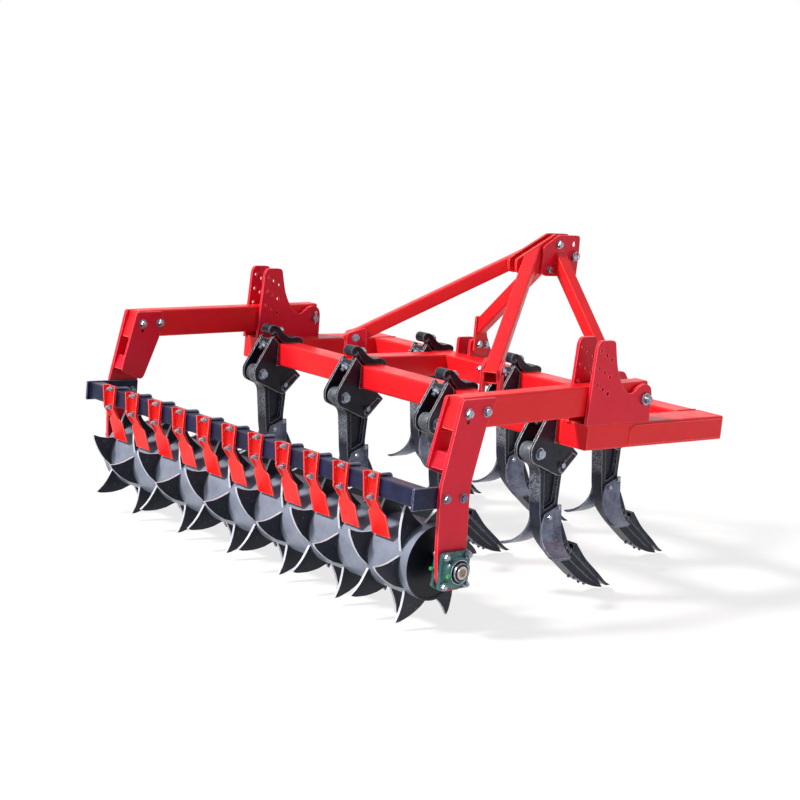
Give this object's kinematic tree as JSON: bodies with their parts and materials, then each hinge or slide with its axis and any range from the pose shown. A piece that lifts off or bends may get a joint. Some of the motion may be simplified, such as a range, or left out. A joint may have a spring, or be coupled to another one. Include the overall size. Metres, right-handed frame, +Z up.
{
  "type": "chisel plow",
  "caption": "Mounted chisel plow: a red box frame with curved black shanks in two rows, a three-point mast and a toothed rear roller with scrapers on two arms.",
  "frame": {"origin": "middle of the machine's outline on the ground it stands on", "axes": "+X to the machine's right across its width, +Y forwards to the tractor, +Z up"},
  "size_m": [2.274, 2.098, 1.386],
  "materials": {
    "red_frame_paint": "gloss",
    "red_plate_paint": "gloss",
    "black_cast": "satin paint, worn",
    "black_paint": "satin",
    "zinc": "zinc plated",
    "teal_casting": "gloss paint",
    "bare_steel": "lightly rusted"
  },
  "bodies": {
    "frame": {"rear_beam": "red_frame_paint", "front_beam": "red_frame_paint", "side_tubes": "red_frame_paint", "side_doublers": "red_frame_paint", "inner_rails": "red_frame_paint", "side_plates_outer": "red_plate_paint", "side_plates_inner": "red_plate_paint", "arm_pins": "zinc", "mast_head_plates": "red_plate_paint", "mast_front_legs": "red_frame_paint", "mast_rear_braces": "red_frame_paint", "brace_clevises": "red_frame_paint", "lower_link_plates": "red_plate_paint", "lower_link_pins": "zinc", "top_link_pin": "zinc", "rear_mount_cheeks": "black_paint", "front_mount_cheeks": "black_paint", "rear_mount_straps": "black_paint", "front_mount_straps": "black_paint", "rear_shanks": "black_cast", "front_shanks": "black_cast", "tine_pivot_bolts": "zinc", "rear_points": "black_paint", "front_points": "black_paint", "rear_wings": "black_paint", "front_wings": "black_paint"},
    "roller_arms": {"arm_left": "red_frame_paint", "arm_right": "red_frame_paint", "arm_outer_plates": "red_plate_paint", "arm_inner_plates": "red_plate_paint", "scraper_beam_tube": "black_paint", "scraper_end_plates": "black_paint", "scrapers": "red_frame_paint", "bearing_housings": "teal_casting"},
    "roller": {"roller_drum": "black_paint", "roller_shafts": "bare_steel", "roller_teeth": "black_paint"}
  },
  "joints": [
    {"name": "arm_swing", "type": "hinge", "parent": "frame", "child": "roller_arms", "pos_m": [0, 0.186, 0.85], "axis": [-1, 0, 0], "range_deg": [-3.5, 20]},
    {"name": "roller_spin", "type": "hinge", "parent": "roller_arms", "child": "roller", "pos_m": [0, -0.789, 0.25747], "axis": [1, 0, 0], "continuous": true}
  ]
}
